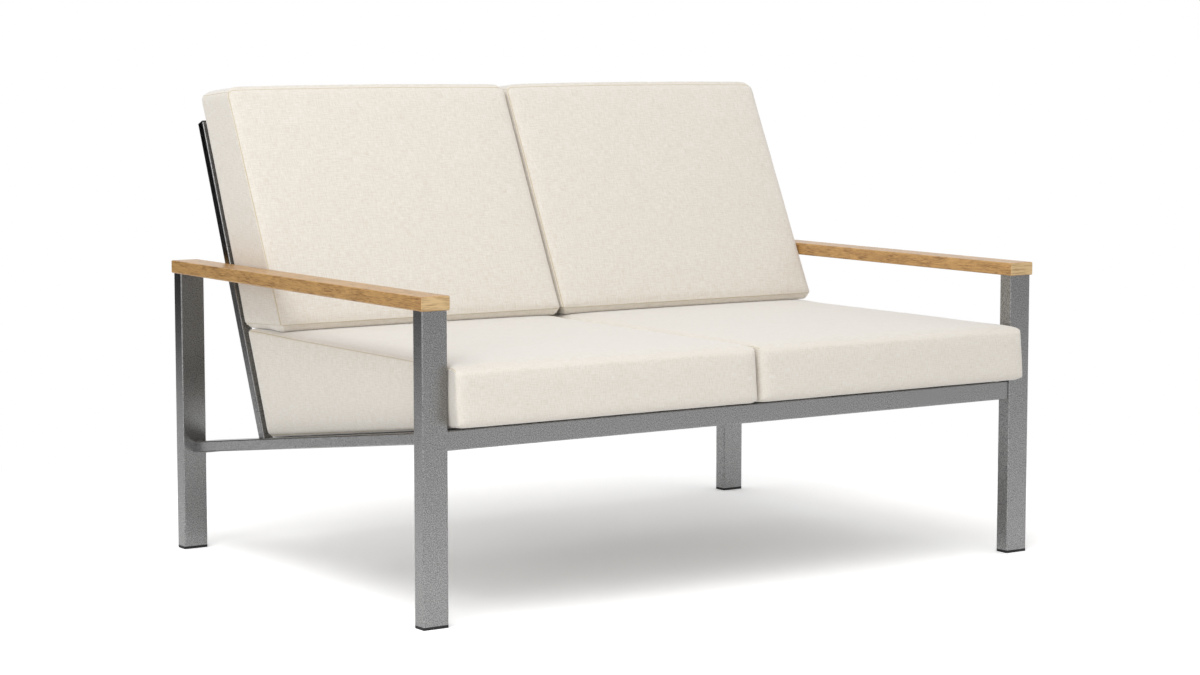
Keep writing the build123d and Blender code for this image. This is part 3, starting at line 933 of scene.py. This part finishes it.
class OBJECT_OT_sofa_stage(bpy.types.Operator):
    """Sets up the floor, the lights and the camera"""

    bl_idname = "object.sofa_stage"
    bl_label = "Floor, lights and camera"

    def execute(self, context):
        settings = context.scene.sofa_stage
        context.scene.view_settings.view_transform = "Standard"
        self.lay_floor()
        self.light_surround(settings)
        self.hang_softbox("key_softbox", KEY_PLACE, KEY_SIZE, settings.key_light)
        fill = self.hang_softbox("fill_softbox", FILL_PLACE, FILL_SIZE, settings.fill_light)
        fill.visible_glossy = False
        for card in CARDS:
            self.stand_card(*card)
        self.place_camera(settings)
        return {"FINISHED"}

    def lay_floor(self):
        """A pale floor that keeps the sofa's shadow and is white where none falls."""
        mesh = bmesh.new()
        bmesh.ops.create_grid(mesh, x_segments=1, y_segments=1, size=FLOOR_HALF)
        floor = add_object("floor", mesh)
        material, tree = new_material("pale_floor")
        paths = add_node(tree, "ShaderNodeLightPath")
        lit = add_node(tree, "ShaderNodeBsdfDiffuse", {"Color": opaque(linear("ebebeb"))})
        paleness = add_node(
            tree, "ShaderNodeMapRange",
            {
                "Value": paths.outputs["Is Glossy Ray"],
                "To Min": FLOOR_PALENESS, "To Max": MIRRORED_PALENESS,
            },
        )
        near = add_node(tree, "ShaderNodeBsdfDiffuse", {"Color": paleness.outputs[0]})
        spot = add_node(tree, "ShaderNodeTexCoord").outputs["Object"]
        distance = add_node(tree, "ShaderNodeVectorMath", {0: spot}, operation="LENGTH")
        away = add_node(
            tree, "ShaderNodeMapRange",
            {
                "Value": distance.outputs["Value"],
                "From Min": SHADOW_FADE[0], "From Max": SHADOW_FADE[1],
            },
            interpolation_type="SMOOTHSTEP",
        )
        white = add_node(tree, "ShaderNodeEmission", {"Color": opaque((1, 1, 1)), "Strength": 1.0})
        whitened = add_node(
            tree, "ShaderNodeMixShader",
            {0: away.outputs[0], 1: near.outputs[0], 2: white.outputs[0]},
        )
        surface = add_node(
            tree, "ShaderNodeMixShader",
            {0: seen_rays(tree, paths), 1: lit.outputs[0], 2: whitened.outputs[0]},
        )
        finish_material(tree, surface)
        floor.data.materials.append(material)

    def light_surround(self, settings):
        """White behind the sofa, and a softer even light on it."""
        world = bpy.data.worlds.new("studio")
        bpy.context.scene.world = world
        world.use_nodes = True
        tree = world.node_tree
        tree.nodes.clear()
        seen = seen_rays(tree, add_node(tree, "ShaderNodeLightPath"))
        strength = add_node(
            tree, "ShaderNodeMapRange",
            {"Value": seen, "To Min": settings.surround, "To Max": 1.0},
        )
        light = add_node(
            tree, "ShaderNodeBackground",
            {"Color": opaque((1, 1, 1)), "Strength": strength.outputs[0]},
        )
        add_node(tree, "ShaderNodeOutputWorld", {"Surface": light.outputs[0]})

    def stand_card(self, name, place, turn, size, brightness):
        """A dark card that only the paint and the varnish mirror."""
        mesh = bmesh.new()
        bmesh.ops.create_grid(mesh, x_segments=1, y_segments=1, size=0.5)
        bmesh.ops.scale(mesh, verts=mesh.verts, vec=(*size, 1.0))
        card = add_object(name, mesh)
        card.location = place
        card.rotation_euler = (math.radians(90), 0, math.radians(turn))
        for ray in ("camera", "diffuse", "transmission", "volume_scatter", "shadow"):
            setattr(card, "visible_" + ray, False)
        material, tree = new_material(name)
        shade = add_node(
            tree, "ShaderNodeEmission",
            {"Color": opaque((1, 1, 1)), "Strength": brightness},
        )
        finish_material(tree, shade)
        card.data.materials.append(material)

    def hang_softbox(self, name, place, size, power):
        """A square softbox that faces the middle of the sofa."""
        lamp = bpy.data.lights.new(name, "AREA")
        lamp.shape = "SQUARE"
        lamp.size = size
        lamp.energy = power
        box = bpy.data.objects.new(name, lamp)
        bpy.context.scene.collection.objects.link(box)
        box.location = place
        box.rotation_euler = (SOFA_MIDDLE - Vector(place)).to_track_quat("-Z", "Y").to_euler()
        return box

    def place_camera(self, settings):
        """The camera stands where the photograph's did, ahead of the left armrest."""
        lens = bpy.data.cameras.new("camera")
        lens.sensor_width = 36.0
        lens.lens = settings.lens
        lens.clip_end = 100.0
        camera = bpy.data.objects.new("camera", lens)
        bpy.context.scene.collection.objects.link(camera)
        across, depth, height = CAMERA_PLACE
        camera.location = (across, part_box("leg_front_left")[0].y + depth, height)
        camera.rotation_euler = (math.radians(CAMERA_TILT), 0, math.radians(CAMERA_TURN))
        bpy.context.scene.camera = camera


class VIEW3D_PT_patio_sofa(bpy.types.Panel):
    """The steps that dress the sofa"""

    bl_idname = "VIEW3D_PT_patio_sofa"
    bl_label = "Patio sofa"
    bl_space_type = "VIEW_3D"
    bl_region_type = "UI"
    bl_category = "Patio sofa"

    def draw(self, context):
        for operator in OPERATORS:
            self.layout.operator(operator.bl_idname)


SETTINGS = {
    "sofa_cushions": CushionSettings,
    "sofa_arms": ArmSettings,
    "sofa_frame": FrameSettings,
    "sofa_stage": StageSettings,
}
OPERATORS = (
    OBJECT_OT_sofa_stage,
    OBJECT_OT_sofa_frame,
    OBJECT_OT_sofa_fittings,
    OBJECT_OT_sofa_arms,
    OBJECT_OT_sofa_seat_cushions,
    OBJECT_OT_sofa_back_cushions,
)


def register():
    for group in SETTINGS.values():
        bpy.utils.register_class(group)
    for operator in OPERATORS:
        bpy.utils.register_class(operator)
    bpy.utils.register_class(VIEW3D_PT_patio_sofa)
    for name, group in SETTINGS.items():
        setattr(bpy.types.Scene, name, PointerProperty(type=group))


def unregister():
    for name in SETTINGS:
        delattr(bpy.types.Scene, name)
    bpy.utils.unregister_class(VIEW3D_PT_patio_sofa)
    for operator in reversed(OPERATORS):
        bpy.utils.unregister_class(operator)
    for group in reversed(SETTINGS.values()):
        bpy.utils.unregister_class(group)


def main():
    register()
    bpy.ops.object.sofa_stage()
    bpy.ops.object.sofa_frame()
    bpy.ops.object.sofa_fittings()
    bpy.ops.object.sofa_arms()
    bpy.ops.object.sofa_seat_cushions()
    bpy.ops.object.sofa_back_cushions()


if __name__ == "__main__":
    main()
